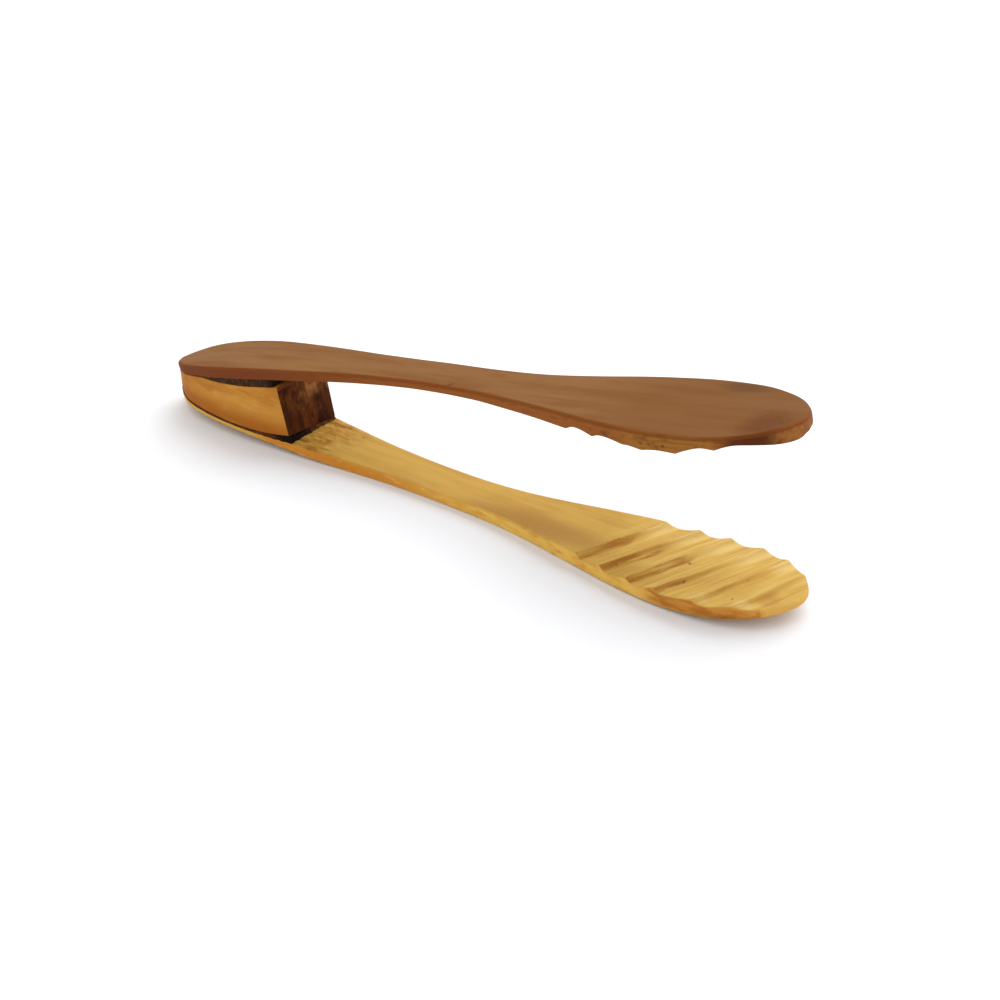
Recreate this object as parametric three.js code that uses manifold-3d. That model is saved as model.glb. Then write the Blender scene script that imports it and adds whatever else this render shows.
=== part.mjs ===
// Spring tongs of wood: two thin carved arms, glued to a wedge-shaped block at the butt, so that the
// arms spread apart from there and are their own springs. The paddles are scalloped on their inner faces.
//
// Millimetres. The tongs lie on the flat underside of the lower arm: +X runs from the butt to the tips,
// +Y is across the arms and +Z is up. The origin is the middle of the footprint, at table height.
//
// Each arm has its own frame: "along" runs down a straight line from the butt (0) to the tip
// (ARM_LENGTH), and "out" is the distance from that line, away from the other arm.

import * as THREE from "three";
import { mergeVertices } from "three/addons/utils/BufferGeometryUtils.js";
import Module from "manifold-3d";

// Driving dimensions

const ARM_LENGTH = 300;
const UPPER_STRETCH = 1.009; // the upper arm is a little the longer
const SPREAD = THREE.MathUtils.degToRad(11.6); // between the two arms' lines, with nothing squeezed
const BUTT_GAP = 6.5; // between the two arms' lines, at the butt
const REST_DEPTH = 8.6; // the lower arm's flat underside, below its line

const BLOCK_LENGTH = 73.5; // at the block's foot
const BLOCK_LEAN = THREE.MathUtils.degToRad(9.3); // of the block's front face, back from upright
const BLOCK_CHAMFER = 1.8; // on the block's top front edge

const FIT_GAP = 0.15; // clearance between one glued piece and the next

const FLEX_ALONG = 125; // where the bending of each arm is gathered into one hinge line
const FLEX_GAP = 0.9; // between an arm's glued root and its moving blade

const GROOVE_COUNT = 6;
const GROOVE_FIRST = 230.4;
const GROOVE_PITCH = 12.7;
const GROOVE_DEPTH = 1.8;
const GROOVE_SLANT = THREE.MathUtils.degToRad(24); // in plan, away from square across the arm

// Curves, each through [along, value]

const HALF_WIDTH = [
  [0, 0], [2, 3.7], [5, 6.5], [12, 10.8], [20, 13], [32, 14.6], [45, 15.1], [60, 14.4], [80, 12.6],
  [100, 10.5], [120, 9.2], [145, 9], [170, 9.9], [190, 12.2], [210, 15.8], [230, 19.6], [248, 21.8],
  [262, 22.1], [274, 21], [284, 17.8], [291, 14], [296, 9.3], [299, 4.7], [300, 0],
];
// Each arm is carved a little wider than the shared plan, on each side.
const UPPER_EXTRA_WIDTH = [
  [0, 0], [10, 0.4], [30, 0.25], [60, 0.2], [95, 0.8], [130, 0.9], [165, 0.6], [205, 0.4],
  [235, 0.8], [255, 1.1], [275, 0.9], [290, 0.4], [300, 0],
];
const LOWER_EXTRA_WIDTH = [
  [0, 0], [60, 0], [78, 0.4], [110, 0.5], [135, 0.3], [200, 0.2], [225, 0], [300, 0],
];
const UPPER_INNER_FACE = [
  [0, 1.4], [20, 2.7], [45, 3.9], [75, 4.6], [110, 4.95], [140, 4.6], [165, 3.1], [185, 1.2],
  [205, -0.4], [225, -1.7], [250, -2.3], [275, -1.6], [300, -0.9],
];
const UPPER_OUTER_FACE = [
  [0, 4], [10, 5.8], [25, 7.4], [45, 8.5], [65, 8.9], [100, 8.8], [140, 7.9], [170, 6.3],
  [195, 5.1], [225, 4.4], [255, 3.7], [280, 3.4], [300, 3.6],
];
const LOWER_INNER_FACE = [
  [0, 1.1], [20, 2.1], [50, 2.8], [80, 3.3], [110, 3.9], [155, 4.2], [180, 3.6], [210, 2.7],
  [235, 2.2], [255, 1.3], [275, 0], [290, -1], [300, -1.6],
];
const LOWER_BUTT_FACE = [[0, 4.3], [20, 4.4], [40, 4.9], [60, 6], [80, 7.5], [100, REST_DEPTH]];
const LOWER_TIP_FACE = [[205, REST_DEPTH], [240, 8.3], [258, 7.7], [275, 5.9], [288, 3.9], [300, 1.6]];

// The spacing between the block and each arm, which the glue fills

const UPPER_GLUE = { end: 67, spacing: [[0, 0.9], [22, 1], [38, 2.3], [52, 3.1], [76, 3.7]] };
const LOWER_GLUE = { end: 73.5, spacing: [[0, 0.8], [40, 0.9], [58, 1.3], [76, 2.2]] };

// Materials

const matte = (name, color, roughness) =>
  new THREE.MeshStandardMaterial({ name, color, roughness, metalness: 0 });

const DARK_WOOD = matte("dark_wood", 0x9a6a48, 0.45);
const LIGHT_WOOD = matte("light_wood", 0xd0a253, 0.5);
const BLOCK_WOOD = matte("block_wood", 0xc68a3c, 0.5);
const GLUE = matte("glue", 0x3d2f24, 0.35);

// Solids

const wasm = await Module();
wasm.setup();

const solidOf = (geometry) => {
  geometry.deleteAttribute("normal");
  geometry.deleteAttribute("uv");
  const merged = mergeVertices(geometry, 1e-4);
  const mesh = new wasm.Mesh({
    numProp: 3,
    vertProperties: merged.attributes.position.array,
    triVerts: new Uint32Array(merged.index.array),
  });
  return new wasm.Manifold(mesh);
};

const geometryOf = (solid) => {
  const { vertProperties, triVerts } = solid.getMesh();
  const geometry = new THREE.BufferGeometry();
  geometry.setAttribute("position", new THREE.BufferAttribute(vertProperties, 3));
  geometry.setIndex(new THREE.BufferAttribute(triVerts, 1));
  return geometry;
};

const meshOf = (name, material, solid) => {
  const mesh = new THREE.Mesh(geometryOf(solid), material);
  mesh.name = name;
  return mesh;
};

// Curves

const smooth = (points, divisions) =>
  new THREE.SplineCurve(points.map(([x, y]) => new THREE.Vector2(x, y))).getPoints(divisions);

// The value of a smooth curve at one place along the arm.
const valueAt = (curve, along) => {
  const next = Math.max(1, curve.findIndex((point) => point.x >= along));
  const [a, b] = [curve[next - 1], curve[next]];
  return a.y + ((b.y - a.y) * (along - a.x)) / (b.x - a.x);
};

const FACE_STEPS = 60;
const upperInner = smooth(UPPER_INNER_FACE, FACE_STEPS);
const upperOuter = smooth(UPPER_OUTER_FACE, FACE_STEPS);
const lowerInner = smooth(LOWER_INNER_FACE, FACE_STEPS);
const lowerOuter = [...smooth(LOWER_BUTT_FACE, 24), ...smooth(LOWER_TIP_FACE, 24)];

// Builders. Each works in an arm's frame, with X along, Y across and Z out.

const WIDE = 60; // more than any piece is wide or tall, for solids that others trim

// The shared outline in plan, as a tall solid; growthAt gives how far each side is moved outwards.
const planSolid = (growthAt) => {
  const side = smooth(HALF_WIDTH, 100).map(
    (p) => new THREE.Vector2(p.x, Math.max(0, p.y + growthAt(p.x))),
  );
  const outline = new THREE.Shape([
    ...side.map((p) => new THREE.Vector2(p.x, -p.y)),
    ...side.slice(1, -1).reverse(),
  ]);
  const solid = new THREE.ExtrudeGeometry(outline, { depth: 2 * WIDE, bevelEnabled: false });
  return solidOf(solid.translate(0, 0, -WIDE));
};

// A side view, given as points [along, out] in order, run across the whole width.
const sideSolid = (points) => {
  const shape = new THREE.Shape(points.map((p) => new THREE.Vector2(p.x, p.y)));
  const solid = new THREE.ExtrudeGeometry(shape, { depth: WIDE, bevelEnabled: false });
  return solidOf(solid.rotateX(Math.PI / 2).translate(0, WIDE / 2, 0));
};

// One round-bottomed groove across the inner face of a paddle.
const grooveSolid = (inner, index, slant) => {
  const halfChord = GROOVE_PITCH / 2;
  const radius = (halfChord ** 2 + GROOVE_DEPTH ** 2) / (2 * GROOVE_DEPTH);
  const along = GROOVE_FIRST + index * GROOVE_PITCH;
  const tool = new THREE.CylinderGeometry(radius, radius, 2 * WIDE, 72);
  tool.rotateZ(slant);
  tool.translate(along, 0, valueAt(inner, along) + GROOVE_DEPTH - radius);
  return solidOf(tool);
};

const slabSolid = (from, to) => {
  const slab = new THREE.BoxGeometry(to - from, WIDE, 2 * WIDE);
  return solidOf(slab.translate((from + to) / 2, 0, 0));
};

// An arm, cut at the hinge line into its glued root and its moving blade.
const armSolids = (inner, outer, extraWidth, slant) => {
  const side = sideSolid([...inner, ...outer.slice().reverse()]);
  const extra = smooth(extraWidth, FACE_STEPS);
  const whole = side.intersect(planSolid((s) => valueAt(extra, s)));
  const root = whole.intersect(slabSolid(-WIDE, FLEX_ALONG - FLEX_GAP / 2));
  let blade = whole.intersect(slabSolid(FLEX_ALONG + FLEX_GAP / 2, ARM_LENGTH + WIDE));
  for (let index = 0; index < GROOVE_COUNT; index++) {
    blade = blade.subtract(grooveSolid(inner, index, slant));
  }
  return { root, blade };
};

// Frames. The lower arm's "out" points down; the upper arm is turned up by the spread.

const lowerFrame = new THREE.Matrix4().makeRotationX(Math.PI);
const upperFrame = new THREE.Matrix4()
  .makeRotationY(-SPREAD)
  .scale(new THREE.Vector3(UPPER_STRETCH, 1, 1))
  .setPosition(BUTT_GAP * Math.sin(SPREAD / 2), 0, BUTT_GAP * Math.cos(SPREAD / 2));

// A point of an arm's side view, taken into the part's own X and Z.
const placed = (frame, along, out) => {
  const point = new THREE.Vector3(along, 0, out).applyMatrix4(frame);
  return new THREE.Vector2(point.x, point.z);
};

// A run of points at a changing distance inside an arm's inner face, from the butt to end.
const offsetFace = (frame, inner, distanceAt, end) => {
  const stations = 16;
  return Array.from({ length: stations + 1 }, (_, i) => {
    const along = (end * i) / stations;
    return placed(frame, along, valueAt(inner, along) - distanceAt(along));
  });
};

// The block, between the two glue layers, with its leaning front face and the chamfer above it.
const blockSolid = (plan) => {
  const upperSpacing = smooth(UPPER_GLUE.spacing, FACE_STEPS);
  const lowerSpacing = smooth(LOWER_GLUE.spacing, FACE_STEPS);
  const floor = offsetFace(lowerFrame, lowerInner, (s) => valueAt(lowerSpacing, s), BLOCK_LENGTH);
  const roof = offsetFace(upperFrame, upperInner, (s) => valueAt(upperSpacing, s), BLOCK_LENGTH);
  const foot = floor.at(-1);
  const frontAt = (z) => foot.x - (z - foot.y) * Math.tan(BLOCK_LEAN);
  const flatRoof = roof.filter((p) => p.x < frontAt(p.y) - BLOCK_CHAMFER);
  const top = flatRoof.at(-1).y;
  const front = [
    new THREE.Vector2(frontAt(top - BLOCK_CHAMFER), top - BLOCK_CHAMFER),
    new THREE.Vector2(frontAt(top) - BLOCK_CHAMFER, top),
  ];
  return sideSolid([...floor, ...front, ...flatRoof.slice(0, -1).reverse()]).intersect(plan);
};

// A glue layer fills the spacing between an arm and the block, less a fit gap on each side.
const glueSolid = (frame, inner, glue, plan) => {
  const spacing = smooth(glue.spacing, FACE_STEPS);
  const againstArm = offsetFace(frame, inner, () => FIT_GAP, glue.end);
  const againstBlock = offsetFace(frame, inner, (s) => valueAt(spacing, s) - FIT_GAP, glue.end);
  return sideSolid([...againstArm, ...againstBlock.reverse()]).intersect(plan);
};

// Assembly

const butt = planSolid(() => -FIT_GAP);
// The lower arm is turned over, so opposite slants make both arms' grooves agree.
const upper = armSolids(upperInner, upperOuter, UPPER_EXTRA_WIDTH, -GROOVE_SLANT);
const lower = armSolids(lowerInner, lowerOuter, LOWER_EXTRA_WIDTH, GROOVE_SLANT);
const inUpper = (solid) => solid.transform(upperFrame.elements);
const inLower = (solid) => solid.transform(lowerFrame.elements);

const tongs = new THREE.Group();
tongs.add(
  meshOf("wedge_block", BLOCK_WOOD, blockSolid(butt)),
  meshOf("upper_glue_layer", GLUE, glueSolid(upperFrame, upperInner, UPPER_GLUE, butt)),
  meshOf("lower_glue_layer", GLUE, glueSolid(lowerFrame, lowerInner, LOWER_GLUE, butt)),
  meshOf("upper_arm_root", DARK_WOOD, inUpper(upper.root)),
  meshOf("upper_arm_blade", DARK_WOOD, inUpper(upper.blade)),
  meshOf("lower_arm_root", LIGHT_WOOD, inLower(lower.root)),
  meshOf("lower_arm_blade", LIGHT_WOOD, inLower(lower.blade)),
);

const bounds = new THREE.Box3().setFromObject(tongs);
tongs.position.set(-(bounds.min.x + bounds.max.x) / 2, 0, -bounds.min.z);

export default tongs;
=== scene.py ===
"""Sprung tongs of carved wood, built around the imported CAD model.

Lengths are in millimetres until a mesh is made. Each arm has its own frame, as in the CAD: "along" runs
from the butt to the tip, "across" is the frame's Y, and "out" is the distance away from the other arm.
The near side is negative across and the far side positive.
"""

import math

import bpy
import numpy as np
from mathutils import Matrix, Vector


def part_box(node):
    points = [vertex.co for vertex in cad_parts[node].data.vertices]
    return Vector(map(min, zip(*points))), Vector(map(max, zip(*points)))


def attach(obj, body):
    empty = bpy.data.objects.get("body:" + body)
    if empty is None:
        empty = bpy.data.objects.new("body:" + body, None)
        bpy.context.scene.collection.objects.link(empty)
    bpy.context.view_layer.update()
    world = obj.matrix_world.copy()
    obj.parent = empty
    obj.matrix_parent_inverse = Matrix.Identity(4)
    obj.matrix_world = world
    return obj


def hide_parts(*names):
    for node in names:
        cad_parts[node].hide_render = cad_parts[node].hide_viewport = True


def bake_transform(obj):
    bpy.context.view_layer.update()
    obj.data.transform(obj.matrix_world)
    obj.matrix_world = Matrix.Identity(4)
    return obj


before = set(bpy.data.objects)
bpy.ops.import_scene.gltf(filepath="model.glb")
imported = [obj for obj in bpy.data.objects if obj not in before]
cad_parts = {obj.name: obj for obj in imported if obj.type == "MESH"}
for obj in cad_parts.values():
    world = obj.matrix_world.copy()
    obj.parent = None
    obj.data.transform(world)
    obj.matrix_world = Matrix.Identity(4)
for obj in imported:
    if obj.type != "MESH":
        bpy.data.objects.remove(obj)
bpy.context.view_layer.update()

MM = 0.001

# ---------------------------------------------------------------- driving dimensions

ARM_LENGTH = 300.0
UPPER_STRETCH = 1.009          # the upper arm is a little the longer
SPREAD = math.radians(11.6)    # between the two arms' lines, with nothing squeezed
BUTT_GAP = 6.5                 # between the two arms' lines, at the butt
REST_DEPTH = 8.6               # the lower arm's flat underside, below its line
BUTT_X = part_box("lower_arm_root")[0].x / MM

# The lower arm's underside is quite even between these two places along it, where it rests.
EVEN_START = 95.0
EVEN_END = 205.0

# (along, across) or (along, out) points of smooth curves.
HALF_WIDTH = [
    (0, 0), (2, 3.7), (5, 6.5), (12, 10.8), (20, 13), (32, 14.6), (45, 15.1), (60, 14.4), (80, 12.6),
    (100, 10.5), (120, 9.2), (145, 9), (170, 9.9), (190, 12.2), (210, 15.8), (230, 19.6), (248, 21.8),
    (262, 22.1), (274, 21), (284, 17.8), (291, 14), (296, 9.3), (299, 4.7), (300, 0),
]
# Each arm is carved a little wider than the shared plan at each side.
UPPER_EXTRA = [(0, 0), (10, 0.4), (30, 0.25), (60, 0.2), (95, 0.8), (130, 0.9), (165, 0.6), (205, 0.4),
               (235, 0.8), (255, 1.1), (275, 0.9), (290, 0.4), (300, 0)]
LOWER_EXTRA = [(0, 0), (60, 0), (78, 0.4), (110, 0.5), (135, 0.3), (200, 0.2), (225, 0), (300, 0)]
UPPER_INNER_FACE = [
    (0, 1.4), (20, 2.7), (45, 3.9), (75, 4.6), (110, 4.95), (140, 4.6), (165, 3.1), (185, 1.2),
    (205, -0.4), (225, -1.7), (250, -2.3), (275, -1.6), (300, -1.5),
]
UPPER_OUTER_FACE = [
    (0, 4), (10, 5.8), (25, 7.4), (45, 8.5), (65, 8.9), (100, 8.8), (140, 7.9), (170, 6.3),
    (195, 5.1), (225, 4.4), (255, 3.7), (280, 3.4), (300, 3.6),
]
# How much farther out the near edge of the upper paddle's inner face lies than its middle.
UPPER_NEAR_EDGE = [(200, 0), (214, -0.15), (226, 0), (240, -0.1), (250, -0.9), (262, -0.95), (276, 0.4),
                   (290, -0.2), (300, -1)]
LOWER_INNER_FACE = [
    (0, 1.1), (20, 2.1), (50, 2.8), (80, 3.3), (110, 3.9), (155, 4.2), (180, 3.6), (210, 2.7),
    (235, 2.2), (255, 1.3), (275, 0), (290, -1.2), (300, -2),
]
LOWER_BUTT_FACE = [(0, 4.3), (20, 4.4), (40, 4.9), (60, 6), (80, 7.5), (100, REST_DEPTH)]
LOWER_TIP_FACE = [(205, REST_DEPTH), (240, 8.3), (258, 7.7), (275, 5.9), (288, 3.9), (300, 1.6)]
# How much farther out the far edge of the lower arm's inner face lies than its middle. The near edge is
# higher by as much.
LOWER_TILT = [(0, 0), (100, 0), (150, 0.3), (210, 0.1), (252, 0.45), (285, 0), (300, -0.3)]

# Scallops: where the crest crosses the middle of the paddle, its slant there, the depth of the cut that
# follows it, and how far along that cut its floor lies.
LOWER_SCALLOPS = [
    (223.4, 0.46, 2.0, 0.30), (236, 0.46, 2.1, 0.30), (248.8, 0.44, 2.0, 0.32), (262.2, 0.48, 1.8, 0.35),
    (276.5, 0.44, 1.5, 0.42), (289, 0.41, 1.2, 0.45), (301.5, 0.40, 0, 0.4),
]
UPPER_SCALLOPS = [
    (221.8, 0.46, 1.5, 0.36), (235.6, 0.46, 1.2, 0.28), (250, 0.44, 0.3, 0.4), (259.2, 0.45, 0.9, 0.5),
    (272.5, 0.45, 1.3, 0.62), (285.8, 0.45, 1.6, 0.42), (300, 0.40, 0, 0.4),
]

BLOCK_FRONT = 73.4             # along, at the foot of the block on the middle line
BLOCK_SKEW = 0.063             # the far side stands a little further forward
BLOCK_LEAN = 0.175             # the front leans back towards the butt
LEAN_START = 45.0              # along: behind this the block isn't leaned or skewed
FILLER_END = 66.5              # along, at the front of the upper filler
BEAD_LENGTH = 3.0              # how far the lower glue can reach in front of the block
FACE_OFFSET = 0.02             # keeps touching faces of block and glue out of one plane

# (along, thickness) of the filler above the block, and of the glue below it at its near and far sides.
FILLER_GAP = [(0, 0.45), (15, 0.5), (25, 0.8), (31, 1.6), (38, 2.5), (50, 3.5), (60, 3.9), (68, 4.3),
              (80, 5)]
FOOT_GAP_NEAR = [(0, 0.5), (35, 0.5), (47, 0.6), (58, 1.1), (68, 2.4), (73, 3.3), (80, 3.9)]
FOOT_GAP_FAR = [(0, 0.5), (45, 0.5), (73, 0.9), (80, 1)]

# Two places along each arm, at this distance out, inside the wood. The script works out these points but
# does not use them.
FLEX_START = 78.0
FLEX_END = 172.0
FLEX_OUT = 6.0


# ---------------------------------------------------------------- curves

def smooth(points, count=400):
    """A Catmull-Rom curve through the points, as in the CAD."""
    p = np.array(points, float)
    t = np.linspace(0, len(p) - 1, count + 1)
    i = np.minimum(t.astype(int), len(p) - 2)
    f = (t - i)[:, None]
    a, b, c, d = p[np.maximum(i - 1, 0)], p[i], p[i + 1], p[np.minimum(i + 2, len(p) - 1)]
    v0, v1 = (c - a) / 2, (d - b) / 2
    return (2 * b - 2 * c + v0 + v1) * f**3 + (3 * c - 3 * b - 2 * v0 - v1) * f**2 + v0 * f + b


def curve(points):
    """A function of the distance along an arm that follows the smooth curve."""
    c = smooth(points)
    return lambda s: np.interp(s, c[:, 0], c[:, 1])


lower_outer_points = np.concatenate([smooth(LOWER_BUTT_FACE), smooth(LOWER_TIP_FACE)])
half_width = curve(HALF_WIDTH)
upper_inner, upper_outer = curve(UPPER_INNER_FACE), curve(UPPER_OUTER_FACE)
lower_inner = curve(LOWER_INNER_FACE)
lower_tilt = curve(LOWER_TILT)


def lower_outer(s):
    """The lower arm's underside: one curve at the butt, one at the tip and a straight line between."""
    return np.interp(s, lower_outer_points[:, 0], lower_outer_points[:, 1])


GOLDEN_ANGLE = 2.39996
WAVES = 5


def ripple(x, y, size, seed):
    """Smooth irregularity from -1 to 1 that changes over about size, the same on every run."""
    total = 0
    for k in range(WAVES):
        turn = GOLDEN_ANGLE * (k + 1) + seed
        reach = size * (1.0 - 0.13 * k)
        wave = (x * math.cos(turn) + y * math.sin(turn)) * 2 * math.pi / reach
        total = total + np.sin(wave + 1.7 * seed * (k + 1) + k)
    return total / WAVES


# ---------------------------------------------------------------- meshes

# How far inside the butt and the tip of an arm its last mesh lines meet the middle line.
BUTT_CAP = 11.0
TIP_CAP = 17.0

HANDLE_STEP = 0.9              # between mesh points along an arm's outline
PADDLE_STEP = 0.5              # the same in the scalloped paddle
STUB_STEP = 0.6                # the same for the block and the glue
CORNER_STEP = 0.2              # the same round their front corners


def in_lower(p):
    """Arm frame to the part's own frame, for the lower arm."""
    return np.stack([p[:, 0] + BUTT_X, p[:, 1], REST_DEPTH - p[:, 2]], 1)


def in_upper(p):
    """The same for the upper arm, which is turned by the spread between the arms."""
    along = p[:, 0] * UPPER_STRETCH
    x = BUTT_GAP * math.sin(SPREAD / 2) + along * math.cos(SPREAD) - p[:, 2] * math.sin(SPREAD)
    z = BUTT_GAP * math.cos(SPREAD / 2) + along * math.sin(SPREAD) + p[:, 2] * math.cos(SPREAD)
    return np.stack([x + BUTT_X, p[:, 1], z + REST_DEPTH], 1)


def spaced(line, step):
    """Points along a line of (along, across) about step(along) apart."""
    length = np.concatenate([[0], np.cumsum(np.hypot(*np.diff(line, axis=0).T))])
    density = 1 / step(line[:, 0])
    count = np.concatenate([[0], np.cumsum(np.diff(length) * (density[1:] + density[:-1]) / 2)])
    places = np.linspace(0, count[-1], int(count[-1]) + 1)
    return np.stack([np.interp(places, count, line[:, 0]), np.interp(places, count, line[:, 1])], 1)


def arm_outline(extra):
    """Near side of an arm's plan from butt to tip, with finer steps in the scalloped paddle."""
    line = smooth(HALF_WIDTH, 6000)
    line[:, 1] += curve(extra)(line[:, 0])
    finer = HANDLE_STEP - PADDLE_STEP
    return spaced(line, lambda s: HANDLE_STEP - finer * np.clip((s - 195) / 15, 0, 1))


def stub_outline(front, inset, corner=0.5):
    """Near side of the plan of a piece that fills the butt end as far as front, its corner rounded."""
    side = smooth(HALF_WIDTH, 3000)
    side = side[side[:, 0] < front - corner]
    side = np.stack([side[:, 0] + inset * np.exp(-side[:, 0] / 4), np.maximum(side[:, 1] - inset, 0)], 1)
    width = side[-1, 1]
    turn = np.linspace(0, math.pi / 2, 7)
    round_along = front - corner * (1 - np.sin(turn))
    round_across = width - corner * (1 - np.cos(turn))
    round_corner = np.stack([round_along, round_across], 1)
    line = np.concatenate([side, round_corner, [(front, 0)]])

    def step(s):
        by_corner = np.abs(s - front + corner / 2) < corner
        return np.where(by_corner, CORNER_STEP, STUB_STEP)

    return spaced(line, step)


def arm_middle(s):
    """Where the mesh line from the outline at s meets the arm's middle line."""
    t = ARM_LENGTH - s
    near_butt = BUTT_CAP + s**2 / (4 * BUTT_CAP)
    near_tip = ARM_LENGTH - TIP_CAP - t**2 / (4 * TIP_CAP)
    return np.where(s < 2 * BUTT_CAP, near_butt, np.where(t < 2 * TIP_CAP, near_tip, s))


def even(radius):
    """The same edge radius all the way round."""
    return lambda s: radius + 0 * s


# What each row of a slab's points lies on: how much it is side wall, or -1 on the outer face.
INNER_FACE = 0
EDGE = 0.6
WALL = 1
OUTER_FACE = -1


def slab(name, place, side, middle_of, inner, outer, edges, face_rows=34, wall_rows=4, paint=None):
    """A closed piece. Rings of points run round the outline: from the middle of the inner face, over a
    rounded edge, down the side wall, over the other edge and back to the middle of the outer face.
    inner and outer give the out distance of the two faces at (along, across), edges their edge radii."""
    n = len(side) - 1
    loop = np.concatenate([side * (1, -1), side[-2:0:-1]])
    tangent = np.roll(loop, -1, 0) - np.roll(loop, 1, 0)
    normal = np.stack([tangent[:, 1], -tangent[:, 0]], 1)
    normal /= np.hypot(*normal.T)[:, None]
    middle = np.stack([middle_of(loop[:, 0]), np.zeros(len(loop))], 1)
    r_in, r_out = (edge(loop[:, 0]) for edge in edges)
    to_in, to_out = normal * r_in[:, None], normal * r_out[:, None]
    deep_in, deep_out = loop - to_in, loop - to_out
    top, bottom = inner(*deep_in.T), outer(*deep_out.T)
    shares = np.linspace(0, 1, face_rows + 1)
    turns = np.radians([67, 45, 22])
    rows = []
    for f in shares[::-1]:
        flat = deep_in + (middle - deep_in) * f
        rows.append((flat, inner(*flat.T), INNER_FACE))
    for turn in turns:
        rows.append((loop - to_in * (1 - math.cos(turn)), top + r_in * (1 - math.sin(turn)), EDGE))
    for f in np.linspace(0, 1, wall_rows + 1):
        rows.append((loop, top + r_in + (bottom - top - r_in - r_out) * f, WALL))
    for turn in turns[::-1]:
        rows.append((loop - to_out * (1 - math.cos(turn)), bottom - r_out * (1 - math.sin(turn)), EDGE))
    for f in shares:
        flat = deep_out + (middle - deep_out) * f
        rows.append((flat, outer(*flat.T), OUTER_FACE))

    points = np.concatenate([np.column_stack([flat, out]) for flat, out, _ in rows])
    kind = np.concatenate([np.full(len(loop), row_kind) for _, _, row_kind in rows])
    index = np.arange(len(points)).reshape(len(rows), len(loop))
    for row in (0, -1):  # the two sides of the middle line share their vertices
        index[row, n + 1:] = index[row, 1:n][::-1]
    quads = [np.stack([a, np.roll(a, -1), np.roll(b, -1), b], 1) for a, b in zip(index, index[1:])]
    faces = [list(dict.fromkeys(q)) for q in np.concatenate(quads).tolist()]
    return make(name, place(points), [f for f in faces if len(f) > 2], points, kind, paint)


def make(name, points_mm, faces, grain, kind, paint):
    """A mesh object whose points carry their place in the piece's own frame (grain, in centimetres) and
    what the surface is there (marks: steepness of a cut, side wall, outer face)."""
    used = sorted({v for f in faces for v in f})
    renumber = {v: i for i, v in enumerate(used)}
    mesh = bpy.data.meshes.new(name)
    mesh.from_pydata((points_mm[used] * MM).tolist(), [], [[renumber[v] for v in f] for f in faces])
    grain, kind = grain[used], kind[used]
    steep = paint(grain[:, 0], grain[:, 1]) * (kind == INNER_FACE) if paint else np.zeros(len(kind))
    marks = np.stack([steep, np.clip(kind, 0, 1), np.clip(-kind, 0, 1)], 1)
    for label, values in (("grain", grain / 10), ("marks", marks)):
        attribute = mesh.attributes.new(label, "FLOAT_VECTOR", "POINT")
        attribute.data.foreach_set("vector", values.astype(np.float32).ravel())
    mesh.polygons.foreach_set("use_smooth", [True] * len(mesh.polygons))
    mesh.validate()
    mesh.update()
    face_out(mesh)
    obj = bpy.data.objects.new(name, mesh)
    bpy.context.scene.collection.objects.link(obj)
    return obj


def face_out(mesh):
    """Turns every face round if the closed mesh has a negative volume."""
    co = np.zeros(len(mesh.vertices) * 3, np.float32)
    mesh.vertices.foreach_get("co", co)
    mesh.calc_loop_triangles()
    tri = np.zeros(len(mesh.loop_triangles) * 3, np.int32)
    mesh.loop_triangles.foreach_get("vertices", tri)
    a, b, c = co.reshape(-1, 3).astype(float)[tri.reshape(-1, 3)].transpose(1, 0, 2)
    if (a * np.cross(b, c)).sum() < 0:
        mesh.flip_normals()


# ---------------------------------------------------------------- scallops

def cut_profile(x, y, scallops, near_valley):
    """The gouge cuts at each point: depth below the crests, and how steep the cut's butt-side wall is."""
    lines = [c + y * slant + 0.45 * ripple(x, y, 17, c) for c, slant, _, _ in scallops]
    depth, steep = np.zeros_like(x), np.zeros_like(x)
    for k in range(len(scallops) - 1):
        _, _, deepest, valley = scallops[k]
        floor = np.clip(valley + near_valley * y / 20, 0.15, 0.7)
        t = (x - lines[k]) / (lines[k + 1] - lines[k])
        inside = (t > 0) & (t < 1)
        t = np.clip(t, 0, 1)
        fall = 1 - np.abs(1 - t / floor) ** 2.0
        rise = 1 - np.abs((t - floor) / (1 - floor)) ** 1.7
        wall = np.clip(1.15 - t / floor, 0, 1)
        local = deepest * (1 + 0.12 * ripple(x, y, 23, k + 3.0))
        depth = np.where(inside, np.where(t < floor, fall, rise) * local, depth)
        steep = np.where(inside, wall, steep)
    return depth, steep


def scallops_of(scallops, near_valley=0.0):
    """A softened depth function and a steepness function for one paddle."""
    def depth(x, y):
        shifts = (-0.5, -0.17, 0.17, 0.5)
        return sum(cut_profile(x + d, y, scallops, near_valley)[0] for d in shifts) / len(shifts)

    def steep(x, y):
        return cut_profile(x, y, scallops, near_valley)[1]

    return depth, steep


lower_cut, lower_steep = scallops_of(LOWER_SCALLOPS, 0.09)
upper_cut, upper_steep = scallops_of(UPPER_SCALLOPS)
upper_near_edge = curve(UPPER_NEAR_EDGE)


# ---------------------------------------------------------------- arms

# The nick in the upper arm's top.
NICK_ALONG = 155.9
NICK_ACROSS = -8.4
NICK_SLANT = 0.7
NICK_DEPTH = 0.35


def lower_inner_surface(x, y):
    """Slightly tilted and uneven, roughened in front of the block, and scalloped in the paddle."""
    lean = lower_tilt(x) * y / np.maximum(half_width(x), 4)
    torn = np.exp(-((x - 80) / 6) ** 2) * 0.22 * ripple(x, y, 3.1, 5.5) * (x > 60)
    return lower_inner(x) + lean + torn + 0.08 * ripple(x, y, 37, 1.3) + lower_cut(x, y)


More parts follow.
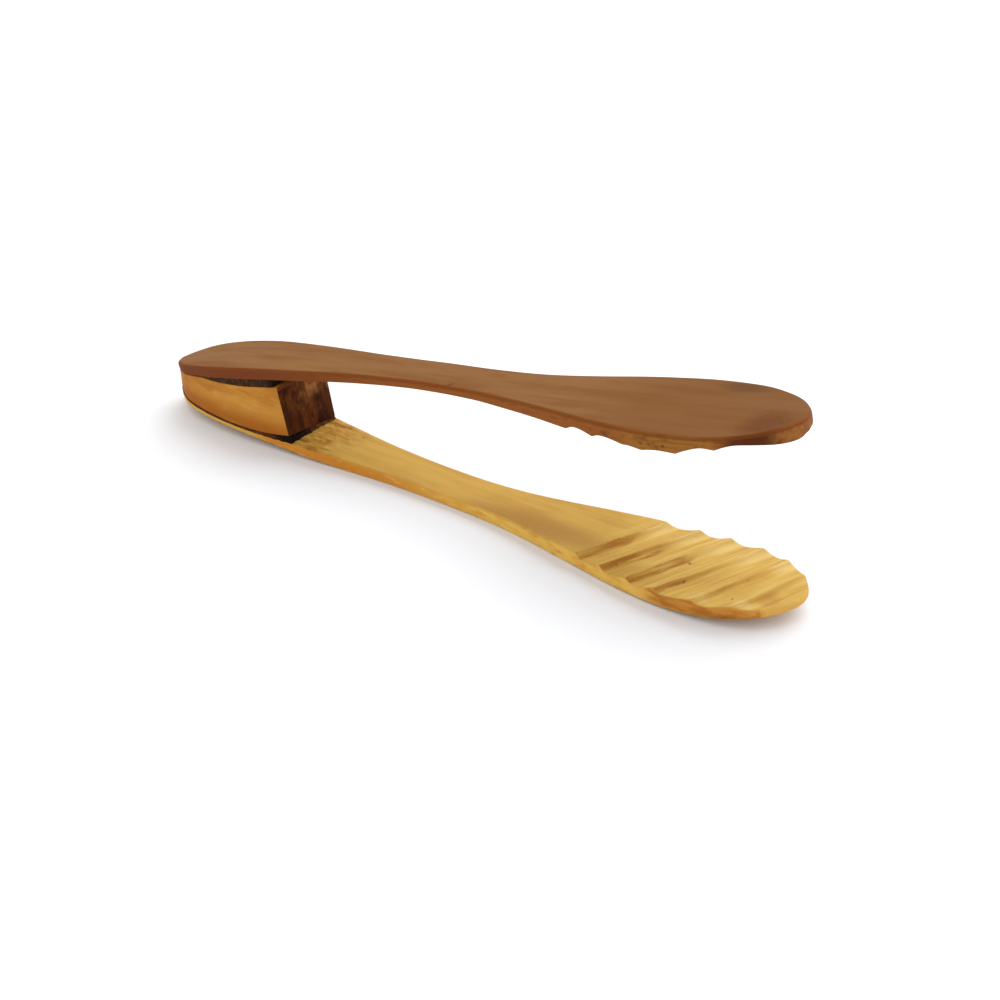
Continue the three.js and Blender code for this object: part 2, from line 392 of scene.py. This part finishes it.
def lower_outer_surface(x, y):
    """Even where it rests on the table, and slightly uneven towards both ends."""
    lift = np.clip((x - EVEN_END) / 40, 0, 1) + np.clip((EVEN_START - x) / 40, 0, 1)
    return lower_outer(x) + 0.05 * lift * (ripple(x, y, 41, 2.2) - 1)


def upper_inner_surface(x, y):
    """Slightly uneven and scalloped in the paddle, where the near edge wanders in and out."""
    near = np.clip(-y / np.maximum(half_width(x), 4), 0, 1) ** 2
    edge = np.where(x > 200, upper_near_edge(x), 0) * near
    return upper_inner(x) + edge + 0.05 * ripple(x, y, 33, 0.7) + upper_cut(x, y)


def upper_outer_surface(x, y):
    """Slightly uneven, with one slanted nick at the near rim."""
    past = x - NICK_ALONG
    beside = y - NICK_ACROSS
    nick = NICK_DEPTH * np.exp(-((past - NICK_SLANT * beside) / 0.8) ** 2 - (beside / 2.0) ** 2)
    return upper_outer(x) + 0.06 * ripple(x, y, 43, 3.1) - nick


def lower_inner_edge(s):
    """Edge radius: worn round along the handle and at the tip, crisp at the block and the scallops."""
    handle = np.clip((s - 76) / 20, 0, 1) * np.clip((212 - s) / 25, 0, 1)
    return 0.4 + 0.35 * handle + 0.5 * np.clip((s - 290) / 6, 0, 1)


lower_arm = slab("lower_arm", in_lower, arm_outline(LOWER_EXTRA), arm_middle, lower_inner_surface,
                 lower_outer_surface, (lower_inner_edge, even(0.6)), paint=lower_steep)
upper_arm = slab("upper_arm", in_upper, arm_outline(UPPER_EXTRA), arm_middle, upper_inner_surface,
                 upper_outer_surface, (even(0.35), even(1.3)), paint=upper_steep)


# ---------------------------------------------------------------- block and glue

# The mesh lines near the front of the block or a glue layer meet the middle line at LAST_LINE, or at
# FRONT_CAP behind the front where that is nearer the butt.
LAST_LINE = 60.0
FRONT_CAP = 12.0


def stub_middle(front):
    """arm_middle for a piece that ends square at front."""
    return lambda s: np.minimum(arm_middle(np.minimum(s, LAST_LINE)), front - FRONT_CAP)


filler_gap = curve(FILLER_GAP)
foot_gap_near, foot_gap_far = curve(FOOT_GAP_NEAR), curve(FOOT_GAP_FAR)


def block_top():
    """The block's top in the lower arm's frame, where it meets the underside of the upper filler."""
    s = np.linspace(0, 84, 200)
    under = in_upper(np.stack([s, 0 * s, upper_inner(s) - filler_gap(s)], 1))
    return lambda x, y: np.interp(x, under[:, 0] - BUTT_X, REST_DEPTH - under[:, 2])


def block_foot(x, y):
    """The block's underside, farther from the lower arm on the near side than on the far side."""
    far = np.clip(0.5 + y / 28, 0, 1)
    return lower_inner(x) - (foot_gap_near(x) * (1 - far) + foot_gap_far(x) * far)


def lean_back(p):
    """Leans and skews the front of the block, the sides still following the arm's plan."""
    weight = np.clip((p[:, 0] - LEAN_START) / (BLOCK_FRONT - LEAN_START), 0, 1) ** 1.5
    height = -p[:, 2]
    shift = weight * (BLOCK_SKEW * p[:, 1] - BLOCK_LEAN * height)
    width = half_width(p[:, 0] + shift) / half_width(p[:, 0])
    return in_lower(np.stack([p[:, 0] + shift, p[:, 1] * np.where(p[:, 0] > 20, width, 1), p[:, 2]], 1))


def glue_plan(side, inset, rough):
    """A ragged version of a stub's plan, roughest at its front."""
    raggedness = rough * np.clip((side[:, 0] - 50) / 20, 0.3, 1)
    ragged = 1 - (inset + raggedness * (0.5 + 0.5 * ripple(side[:, 0], side[:, 1], 5, 2.0))) / 15
    return side * np.stack([np.ones(len(side)), ragged], 1)


wedge = slab("wedge", lean_back, stub_outline(BLOCK_FRONT, 0.15), stub_middle(BLOCK_FRONT), block_top(),
             block_foot, (even(0.45), even(0.3)), face_rows=14, wall_rows=22)


def filler_under(x, y):
    """Along the block's top."""
    return upper_inner(x) - filler_gap(x) + FACE_OFFSET


def filler_top(x, y):
    """A touch inside the wood of the upper arm."""
    return upper_inner(x) + 0.05


upper_filler = slab("upper_filler", in_upper, glue_plan(stub_outline(FILLER_END, 0.3, 1.5), 0.2, 0.5),
                    stub_middle(FILLER_END), filler_under, filler_top, (even(0.12), even(0.12)),
                    face_rows=10, wall_rows=8)


SQUEEZE_FRONT = BLOCK_FRONT + BEAD_LENGTH


def squeeze_top(x, y):
    """The lower glue fills the gap under the block and slumps in a ragged bead in front of it."""
    past = x - (BLOCK_FRONT + BLOCK_SKEW * y - 0.6)
    reach = 1.3 + 0.5 * ripple(x, y, 7, 4.4) + 0.4 * ripple(x, y, 2.3, 1.4)
    bead = np.clip(1 - past / reach, 0, 1) ** 0.6
    height = lower_inner(x) - block_foot(x, y)
    sink = 0.25
    sunk = lower_inner(x) + sink
    return np.where(past > 0, sunk - (height + sink) * bead, block_foot(x, y) - FACE_OFFSET)


def squeeze_under(x, y):
    """Just inside the wood of the lower arm."""
    return lower_inner(x) + 0.35


lower_glue = slab("lower_glue", in_lower, glue_plan(stub_outline(SQUEEZE_FRONT, 0.0, 1.2), -0.15, 0.5),
                  stub_middle(SQUEEZE_FRONT), squeeze_top, squeeze_under, (even(0.1), even(0.1)),
                  face_rows=30, wall_rows=5)


# ---------------------------------------------------------------- materials

# How bright a white surface is in the studio light, as a share of full white: facing up, facing up but
# under the other arm, and facing sideways.
LIGHT_LEVEL = 1.5
SHELTERED_LEVEL = 1.27
RIM_LEVEL = 1.02

FAR_WALL_SHADE = 0.32          # how much the far wall is darkened
BLACK = (0, 0, 0, 1)
CUT_SLANT = 0.46               # of the grain in the paddle, which follows the gouge cuts


def seen(red, green, blue, level=LIGHT_LEVEL):
    """The base colour of a surface that should look like this 8-bit colour in the studio light."""
    def linear(value):
        v = value / 255
        return (v / 12.92 if v <= 0.04045 else ((v + 0.055) / 1.055) ** 2.4) / level
    return linear(red), linear(green), linear(blue), 1.0


def rim_seen(red, green, blue):
    """The same, for a side wall."""
    return seen(red, green, blue, RIM_LEVEL)


def sheltered(red, green, blue):
    """The same, for the lower arm's inner face."""
    return seen(red, green, blue, SHELTERED_LEVEL)


class Shader:
    """A material's node tree while it is built. Its methods give back the sockets they made."""

    def __init__(self, name):
        self.material = bpy.data.materials.new(name)
        self.material.use_nodes = True
        self.tree = self.material.node_tree
        self.surface = self.tree.nodes["Principled BSDF"]
        self.grain = self.stored("grain")
        self.along, self.across, self.out = self.parts(self.grain)
        self.steep, self.wall, self.back = self.parts(self.stored("marks"))

    def put(self, socket, value):
        """Links another socket's value, or sets a constant."""
        if isinstance(value, bpy.types.NodeSocket):
            self.tree.links.new(value, socket)
        else:
            socket.default_value = value

    def node(self, kind, **settings):
        made = self.tree.nodes.new("ShaderNode" + kind)
        for key, value in settings.items():
            setattr(made, key, value)
        return made

    def stored(self, name):
        """A vector that slab stored at the mesh points."""
        return self.node("Attribute", attribute_name=name).outputs["Vector"]

    def parts(self, vector):
        split = self.node("SeparateXYZ")
        self.put(split.inputs[0], vector)
        return split.outputs[:]

    def math(self, operation, a, b):
        made = self.node("Math", operation=operation)
        self.put(made.inputs[0], a)
        self.put(made.inputs[1], b)
        return made.outputs[0]

    def vector(self, x, y, z):
        made = self.node("CombineXYZ")
        for socket, value in zip(made.inputs, (x, y, z)):
            self.put(socket, value)
        return made.outputs[0]

    def noise(self, scale, detail=3.0, roughness=0.55, shift=0.0, vector=None):
        """Noise from 0 to 1; scale gives how fast it changes along, across and out, per centimetre."""
        moved = self.node("VectorMath", operation="MULTIPLY_ADD")
        self.put(moved.inputs[0], vector or self.grain)
        self.put(moved.inputs[1], scale)
        self.put(moved.inputs[2], (shift, shift * 1.7, shift * 0.6))
        made = self.node("TexNoise")
        self.put(made.inputs["Vector"], moved.outputs[0])
        made.inputs["Scale"].default_value = 1.0
        made.inputs["Detail"].default_value = detail
        made.inputs["Roughness"].default_value = roughness
        return made.outputs["Fac"]

    def ramp(self, value, start, end, low=0.0, high=1.0):
        """Smoothly from low to high while value goes from start to end."""
        made = self.node("MapRange", interpolation_type="SMOOTHSTEP")
        for socket, given in zip(made.inputs[:5], (value, start, end, low, high)):
            self.put(socket, given)
        return made.outputs[0]

    def band(self, value, rise_start, rise_end, fall_start, fall_end):
        """One between the rise and the fall, zero outside."""
        rise = self.ramp(value, rise_start, rise_end)
        fall = self.ramp(value, fall_start, fall_end, 1, 0)
        return self.both(rise, fall)

    def both(self, *masks):
        """All the masks multiplied together."""
        total = masks[0]
        for mask in masks[1:]:
            total = self.math("MULTIPLY", total, mask)
        return total

    def mix(self, factor, a, b):
        """Colour a where factor is 0, and colour b where it is 1."""
        made = self.node("Mix", data_type="RGBA")
        first_color, second_color, mixed_color = made.inputs[6], made.inputs[7], made.outputs[2]
        self.put(made.inputs["Factor"], factor)
        self.put(first_color, a)
        self.put(second_color, b)
        return mixed_color

    def layer(self, base, *coats):
        """Lays coats of (mask, colour) over a base colour."""
        for mask, color in coats:
            base = self.mix(mask, base, color)
        return base

    def spot(self, along, across, reach_along, reach_across,
             wobble=0.35, core=0.35, slant=0.0, second=None):
        """A soft blot centred at (along, across) in centimetres, full strength inside its core.
        slant turns it, and second takes the place of across for a blot on a side wall."""
        rise = self.math("SUBTRACT", second or self.across, across)
        run = self.math("SUBTRACT", self.along, along)
        straight = self.math("SUBTRACT", run, self.math("MULTIPLY", rise, slant))
        u = self.math("DIVIDE", straight, reach_along)
        v = self.math("DIVIDE", rise, reach_across)
        square = self.math("ADD", self.math("MULTIPLY", u, u), self.math("MULTIPLY", v, v))
        rough = self.math("MULTIPLY", self.noise((9.0, 9.0, 9.0), shift=along), wobble * 2)
        return self.ramp(self.math("ADD", square, rough), core + wobble, 1.0 + wobble, 1, 0)

    def near_side(self):
        """One on the near half of the piece."""
        return self.ramp(self.across, 0.2, -0.2)

    def far_wall(self):
        """A coat that keeps the far wall, which faces the key light, from looking too pale."""
        far_side = self.ramp(self.across, 0.1, 0.5)
        return self.both(self.wall, far_side, FAR_WALL_SHADE), BLACK

    def finish(self, color, roughness, bump, bump_strength=0.3, bump_mm=0.2, specular=0.08):
        """Wires the colour, roughness and bump height to the surface and gives back the material."""
        self.put(self.surface.inputs["Base Color"], color)
        self.put(self.surface.inputs["Roughness"], roughness)
        self.surface.inputs["Specular IOR Level"].default_value = specular
        made = self.node("Bump")
        made.inputs["Strength"].default_value = bump_strength
        made.inputs["Distance"].default_value = bump_mm * MM
        self.put(made.inputs["Height"], bump)
        self.put(self.surface.inputs["Normal"], made.outputs[0])
        return self.material


def light_wood():
    """The lower arm: yellow wood, oranger on the rim, with torn brown fibre on the steep gouge walls,
    deepened there by painted shade.
    """
    s = Shader("light_wood")
    fibre = s.noise((0.7, 9.0, 9.0), 4.0, shift=3.1)
    paddle = s.ramp(s.along, 21.5, 23.5)
    slanted = s.math("SUBTRACT", s.along, s.math("MULTIPLY", s.across, CUT_SLANT))
    along_cut = s.vector(slanted, s.across, s.out)
    streak = s.noise((4.2, 0.35, 0.35), 4.0, 0.5, shift=5.0, vector=along_cut)
    face = light_face(s, fibre, paddle, streak)
    face = light_cuts(s, face, paddle, along_cut)
    face = light_blemishes(s, face)
    color = s.mix(s.wall, face, light_rim(s, fibre))
    color = s.layer(color, (s.back, rim_seen(196, 142, 68)), s.far_wall())
    bump = s.math("ADD", s.math("MULTIPLY", fibre, 0.5), s.both(streak, paddle, 0.6))
    return s.finish(color, s.ramp(fibre, 0.3, 0.7, 0.55, 0.68), bump, 0.35, 0.35)


def light_face(s, fibre, paddle, streak):
    """The inner face: soft figure along the handle, stripes along the cuts in the paler paddle, a painted
    shade on the near half before the paddle, and two painted highlights near the tip on the near side.
    """
    figure = s.noise((0.28, 1.6, 1.6), 2.0, shift=8.2)
    cloud = s.noise((0.5, 0.9, 0.9), 2.0, shift=1.4)
    return s.layer(
        sheltered(214, 170, 80),
        (s.ramp(figure, 0.45, 0.75), sheltered(202, 154, 68)),
        (s.both(paddle, 0.8), sheltered(226, 184, 92)),
        (s.both(s.ramp(fibre, 0.52, 0.8), 0.45), sheltered(196, 144, 60)),
        (s.both(s.ramp(cloud, 0.5, 0.8), 0.5), sheltered(222, 182, 98)),
        (s.both(s.ramp(streak, 0.5, 0.68), paddle, 0.6), sheltered(204, 150, 62)),
        (s.both(s.ramp(streak, 0.5, 0.32), paddle, 0.7), sheltered(238, 202, 112)),
        # painted shade: a soft darker patch on the near half before the paddle
        (s.both(s.spot(19.2, -0.8, 4.2, 1.0, 0.2, -0.1), 0.8), sheltered(180, 130, 62)),
        # painted highlights: two bright facets near the tip on the near side
        (s.both(s.spot(28.4, -1.5, 0.5, 0.35, 0.3, 0.0), 0.7), sheltered(236, 204, 128)),
        (s.both(s.spot(26.9, -1.8, 0.4, 0.3, 0.3, 0.0), 0.7), sheltered(232, 196, 116)),
        (s.both(s.spot(29.0, -0.75, 0.5, 0.6, 0.3, 0.0), 0.5), sheltered(192, 134, 58)),
    )


def light_cuts(s, face, paddle, along_cut):
    """The steep walls of the gouge cuts: torn brown fibre with painted shade on the near side, a painted
    highlight on the far side, and painted shade over the first cuts.
    """
    tear = s.ramp(s.noise((5.5, 0.6, 0.6), 4.0, 0.6, shift=9.0, vector=along_cut), 0.3, 0.64)
    near = s.both(s.ramp(s.across, -0.2, 1.0, 1.0, 0.15), s.ramp(s.along, 24.6, 26.4, 1.0, 0.35))
    shaded_tear_from = s.ramp(near, 0.2, 1.0, 0.55, 0.1)
    steep_enough = s.ramp(s.steep, shaded_tear_from, s.math("ADD", shaded_tear_from, 0.4))
    # torn brown fibre on the steep near walls, partly painted shade where they face away from the light
    torn = s.both(steep_enough, tear, s.ramp(near, 0.0, 1.0, 0.35, 1.0))
    # painted highlight on the far ends of the steep walls
    painted_highlight = s.both(s.ramp(s.steep, 0.05, 0.4), s.ramp(s.across, 0.5, 1.4), 0.75)
    # painted shade over the near side of the first cuts
    first_cuts_painted_shade = s.both(s.spot(23.5, -1.5, 2.0, 1.0, 0.3, -0.2), paddle, 0.5)
    return s.layer(
        face,
        (first_cuts_painted_shade, sheltered(186, 138, 52)),
        (painted_highlight, sheltered(250, 216, 134)),
        (s.both(torn, 0.85), sheltered(166, 102, 30)),
    )


# Small dark spots on the lower arm's inner face: along, across, and how far they reach each way.
KNOTS = [
    (25.32, 0.14, 0.10, 0.09), (23.12, -1.34, 0.06, 0.06), (24.03, -2.06, 0.07, 0.09),
    (25.84, -1.14, 0.05, 0.12), (27.27, -0.82, 0.04, 0.05), (27.86, -1.25, 0.04, 0.11),
    (8.49, 0.06, 0.09, 0.07), (8.2, 0.95, 0.1, 0.06), (9.45, 0.73, 0.12, 0.05),
]


def light_blemishes(s, face):
    """Small knots, one pulled fibre, and the scraped, dirty patch in front of the block."""
    for knot in KNOTS:
        spot = s.spot(*knot, wobble=0.8, core=-0.3)
        face = s.layer(face, (s.both(spot, 0.8), sheltered(122, 68, 26)))
    fibre_pull = s.spot(25.7, -1.4, 0.09, 0.42, 0.5, -0.3, slant=0.5)
    scrape = s.noise((1.6, 4.5, 4.5), 4.0, shift=2.0)
    dirty = s.band(s.along, 7.0, 7.4, 8.2, 10.0)
    return s.layer(
        face,
        (s.both(fibre_pull, 0.7), sheltered(150, 96, 40)),
        (s.both(dirty, 0.55), sheltered(196, 142, 54)),
        (s.both(dirty, s.ramp(scrape, 0.46, 0.66), 0.9), sheltered(164, 104, 34)),
        (s.both(dirty, s.ramp(scrape, 0.46, 0.3), 0.6), sheltered(230, 196, 116)),
    )


def light_rim(s, fibre):
    """The side wall: orange towards the butt, blotched all along, brown round the paddle, and darker low
    down near the tip as painted shade.
    """
    blotch = s.noise((1.1, 2.0, 3.5), 4.0, 0.6, shift=4.0)
    paddle_rim = s.band(s.along, 24.0, 26.0, 28.6, 29.6)
    blotched_rim = s.both(s.band(s.along, 24.0, 25.5, 28.9, 29.6), s.ramp(blotch, 0.45, 0.62))
    # painted shade low on the rim near the tip, where it curves under towards the table
    rim_foot_painted_shade = s.both(s.band(s.along, 26.6, 28.0, 29.2, 29.7), s.ramp(s.out, 0.25, 0.5))
    return s.layer(
        rim_seen(226, 180, 84),
        (s.ramp(s.along, 18.0, 10.0), rim_seen(200, 128, 42)),
        (s.both(s.ramp(blotch, 0.48, 0.66), 0.75), rim_seen(206, 144, 56)),
        (s.both(s.ramp(blotch, 0.46, 0.32), 0.5), rim_seen(236, 196, 110)),
        (s.ramp(s.along, 29.0, 29.6), rim_seen(208, 162, 80)),
        (s.ramp(s.along, 6.5, 4.5), rim_seen(212, 166, 74)),
        (s.both(paddle_rim, 0.85), rim_seen(190, 122, 46)),
        (s.both(blotched_rim, 0.6), rim_seen(160, 94, 30)),
        (s.both(s.ramp(fibre, 0.5, 0.75), 0.4), rim_seen(184, 124, 50)),
        (s.both(rim_foot_painted_shade, 0.7), rim_seen(118, 62, 22)),
    )


def dark_wood():
    """The upper arm: reddish brown, redder where the top meets the rim, with three pits in the rim."""
    s = Shader("dark_wood")
    fibre = s.noise((0.6, 10.0, 10.0), 4.0, shift=2.3)
    figure = s.noise((0.22, 1.5, 1.5), 3.0, shift=6.1)
    cloud = s.noise((0.4, 0.8, 0.8), 2.0, shift=4.7)
    color = s.mix(s.wall, dark_face(s, fibre, figure, cloud), dark_rim(s, fibre))
    red_edge = s.both(s.band(s.wall, 0.05, 0.5, 0.7, 1.0), s.ramp(s.out, 0.1, 0.25))
    color = s.layer(color, (s.both(red_edge, 0.5), seen(136, 66, 22)))
    for pit in RIM_PITS:
        hole = s.spot(*pit, wobble=0.5, core=-0.3, second=s.out)
        color = s.layer(color, (s.both(hole, s.wall, s.near_side(), 0.75), rim_seen(78, 42, 18)))
    color = s.layer(color, s.far_wall())
    bump = s.math("ADD", fibre, s.math("MULTIPLY", cloud, 0.4))
    return s.finish(color, s.ramp(figure, 0.3, 0.7, 0.52, 0.64), bump, 0.25, 0.2, specular=0.05)


# Along, out, and how far they reach each way.
RIM_PITS = ((24.9, -0.02, 0.13, 0.09), (25.25, -0.02, 0.1, 0.07), (25.8, -0.05, 0.12, 0.09))


def dark_face(s, fibre, figure, cloud):
    """The top and the inner face, with two dark stains on the paddle and the nick's shadow."""
    return s.layer(
        seen(156, 106, 56),
        (s.ramp(figure, 0.42, 0.7), seen(146, 94, 46)),
        (s.both(s.ramp(fibre, 0.5, 0.8), 0.45), seen(130, 78, 34)),
        (s.both(s.ramp(cloud, 0.5, 0.75), 0.5), seen(160, 116, 58)),
        (s.both(s.ramp(s.along, 20.0, 25.0), 0.7), seen(138, 85, 32)),
        (s.both(s.spot(26.7, 1.8, 1.4, 0.5, 0.4, -0.4), 0.75), seen(98, 62, 30)),
        (s.both(s.spot(28.9, -0.8, 1.2, 1.5, 0.4, -0.3), 0.85), seen(116, 60, 8)),
        (s.both(s.spot(15.59, -0.84, 0.07, 0.24, 0.2, 0.0, slant=0.7), 0.8), seen(92, 48, 18)),
    )


def dark_rim(s, fibre):
    """The side wall: dark red at the butt, yellower on the paddle, darkest before the mottled tip."""
    blotch = s.noise((1.4, 2.5, 3.0), 4.0, 0.6, shift=5.5)
    paddle_blotch = s.both(s.ramp(blotch, 0.5, 0.66), s.ramp(s.along, 21.0, 23.0))
    tip_blotch = s.both(s.ramp(s.along, 29.1, 29.6), s.ramp(blotch, 0.58, 0.34))
    return s.layer(
        rim_seen(142, 82, 34),
        (s.ramp(s.along, 15.0, 6.0), rim_seen(116, 58, 26)),
        (s.band(s.along, 23.0, 25.0, 27.2, 28.2), rim_seen(150, 98, 40)),
        (s.both(paddle_blotch, 0.65), rim_seen(104, 58, 20)),
        (s.both(s.ramp(fibre, 0.48, 0.7), 0.5), rim_seen(112, 58, 24)),
        (s.both(s.band(s.along, 27.6, 28.4, 29.3, 29.7), 0.9), rim_seen(72, 36, 17)),
        (s.ramp(s.along, 29.4, 29.8), rim_seen(132, 80, 42)),
        (s.both(tip_blotch, 0.5), rim_seen(164, 110, 50)),
    )


def block_wood():
    """The wedge: honey-coloured side grain and a dark, scuffed end-grain front."""
    s = Shader("block_wood")
    fibre = s.noise((0.8, 0.8, 10.0), 4.0, shift=1.3)
    front_line = BLOCK_FRONT / 10
    on_front = s.ramp(s.along, front_line - 0.045, front_line - 0.02)
    color = s.mix(on_front, block_side(s, fibre), block_front(s))
    color = s.layer(color, s.far_wall())
    return s.finish(color, 0.6, fibre, 0.3, 0.25, specular=0.04)


def block_side(s, fibre):
    """Upright grain, a little darker towards the foot, with soft lighter and darker clouds."""
    figure = s.noise((0.5, 0.5, 1.8), 3.0, shift=3.6)
    blush = s.noise((0.45, 0.45, 1.0), 3.0, 0.6, shift=7.7)
    return s.layer(
        rim_seen(192, 132, 54),
        (s.ramp(figure, 0.4, 0.7), rim_seen(176, 112, 42)),
        (s.ramp(s.out, -0.9, 0.1), rim_seen(164, 96, 30)),
        (s.both(s.ramp(blush, 0.52, 0.75), 0.6), rim_seen(210, 156, 72)),
        (s.both(s.ramp(blush, 0.46, 0.3), 0.45), rim_seen(164, 98, 34)),
        (s.both(s.ramp(fibre, 0.5, 0.8), 0.5), rim_seen(158, 96, 36)),
    )


def block_front(s):
    """Nearly black, blackest low on the near side, and paler high on the far side as painted light where
    the upper arm shades it.
    """
    scuff = s.noise((1.0, 3.2, 1.7), 5.0, 0.6, shift=5.2)
    # painted light: paler high on the far side, to make up for the upper arm's shadow there
    painted_light_patch = s.both(s.ramp(s.across, -0.6, 0.6), s.ramp(s.out, -0.9, -1.7))
    blackest = s.both(s.ramp(s.across, 0.0, -1.2), s.ramp(s.out, -1.6, -0.8))
    return s.layer(
        rim_seen(74, 34, 9),
        (s.both(s.ramp(scuff, 0.42, 0.7), 0.8), rim_seen(108, 60, 22)),
        (s.both(s.ramp(scuff, 0.5, 0.32), 0.8), rim_seen(40, 16, 4)),
        (s.both(blackest, 0.6), rim_seen(46, 20, 6)),
        (s.both(painted_light_patch, 0.5), rim_seen(150, 94, 46)),
        (s.both(painted_light_patch, s.ramp(scuff, 0.4, 0.62), 0.9), rim_seen(182, 124, 68)),
        (s.ramp(s.out, -1.96, -2.02), rim_seen(96, 50, 22)),
    )


def glue(name, color, light, roughness, speck_start):
    """Dark set glue with a few light specks, painted near black at the block's near front corner as
    painted shade of the gap there.
    """
    s = Shader(name)
    lump = s.noise((5.0, 5.0, 5.0), 4.0, shift=2.9)
    speck = s.noise((9.0, 9.0, 9.0), 2.0, shift=6.0)
    # painted shade: near black for the gap at the block's near front corner
    corner = s.both(s.spot(7.4, -1.1, 1.4, 1.4, 0.3, 0.0), s.ramp(s.out, -0.6, -0.3))
    mixed = s.layer(
        color,
        (s.ramp(lump, 0.45, 0.7), light),
        (s.ramp(speck, speck_start, speck_start + 0.06), seen(150, 120, 92)),
        (corner, seen(20, 10, 5)),
    )
    return s.finish(mixed, roughness, lump, 0.8, 0.8, specular=0.05)


def plain(name, color, roughness):
    """One flat colour without bumps."""
    s = Shader(name)
    return s.finish(color, roughness, bump=0.0, bump_strength=0.0)


lower_arm.data.materials.append(light_wood())
upper_arm.data.materials.append(dark_wood())
wedge.data.materials.append(block_wood())
upper_filler.data.materials.append(
    glue("upper_filler", rim_seen(54, 31, 11), rim_seen(84, 52, 24), 0.5, 0.68))
lower_glue.data.materials.append(
    glue("lower_glue", seen(92, 51, 19), seen(120, 74, 34), 0.6, 0.8))


# ---------------------------------------------------------------- hidden CAD parts, and the butt pieces on their body

for arm, blade, place, root in ((lower_arm, "lower_blade", in_lower, "lower_arm"),
                                (upper_arm, "upper_blade", in_upper, "upper_arm")):
    ends = place(np.array([[FLEX_START, 0, FLEX_OUT], [FLEX_END, 0, FLEX_OUT]])) * MM
    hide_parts(root + "_root", root + "_blade")
    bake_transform(arm)
for piece, node in ((wedge, "wedge_block"), (upper_filler, "upper_glue_layer"),
                    (lower_glue, "lower_glue_layer")):
    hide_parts(node)
    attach(piece, "butt")


# ---------------------------------------------------------------- camera, floor and light

# Metres, radians, and the lens in millimetres.
AIM = Vector((0.0188, 0, 0.0089))
CAMERA_AZIMUTH = math.radians(37.46)
CAMERA_ELEVATION = math.radians(31.52)
CAMERA_DISTANCE = 0.6799
CAMERA_ROLL = -0.0391
CAMERA_SHIFT = (0.00125, -0.0105)
LENS = 63.77

FLOOR_HALF = 4.0
FLOOR_COLOR = (0.87, 0.885, 0.91, 1)
FLOOR_ROUGHNESS = 0.8
SKY_COLOR = (1, 1, 1, 1)
SKY_STRENGTH = 0.95

# One large square light, high behind the tongs.
KEY_PLACE = (0.2, 1.25, 1.05)
KEY_AIM = (0, 0, 0)
KEY_SIZE = 2.7
KEY_POWER = 35


def make_camera():
    camera = bpy.data.cameras.new("camera")
    camera.lens = LENS
    camera.shift_x, camera.shift_y = CAMERA_SHIFT
    obj = bpy.data.objects.new("camera", camera)
    bpy.context.scene.collection.objects.link(obj)
    level = math.cos(CAMERA_ELEVATION)
    back = Vector((math.sin(CAMERA_AZIMUTH) * level, -math.cos(CAMERA_AZIMUTH) * level,
                   math.sin(CAMERA_ELEVATION)))
    obj.rotation_mode = "QUATERNION"
    obj.location = AIM + back * CAMERA_DISTANCE
    roll = Matrix.Rotation(CAMERA_ROLL, 3, "Z").to_quaternion()
    obj.rotation_quaternion = (-back).to_track_quat("-Z", "Y") @ roll
    bpy.context.scene.camera = obj


def make_floor():
    mesh = bpy.data.meshes.new("floor")
    half = FLOOR_HALF
    corners = [(-half, -half, 0), (half, -half, 0), (half, half, 0), (-half, half, 0)]
    mesh.from_pydata(corners, [], [(0, 1, 2, 3)])
    floor = bpy.data.objects.new("floor", mesh)
    bpy.context.scene.collection.objects.link(floor)
    floor.data.materials.append(plain("floor", FLOOR_COLOR, FLOOR_ROUGHNESS))


def make_sky():
    world = bpy.data.worlds.new("studio")
    bpy.context.scene.world = world
    world.use_nodes = True
    background = world.node_tree.nodes["Background"]
    background.inputs["Color"].default_value = SKY_COLOR
    background.inputs["Strength"].default_value = SKY_STRENGTH


def make_key():
    light = bpy.data.lights.new("key", "AREA")
    light.shape = "SQUARE"
    light.size = KEY_SIZE
    light.energy = KEY_POWER
    obj = bpy.data.objects.new("key", light)
    obj.location = KEY_PLACE
    obj.rotation_mode = "QUATERNION"
    obj.rotation_quaternion = (Vector(KEY_AIM) - Vector(KEY_PLACE)).to_track_quat("-Z", "Y")
    bpy.context.scene.collection.objects.link(obj)


make_camera()
make_floor()
make_sky()
make_key()
bpy.context.scene.view_settings.view_transform = "Standard"
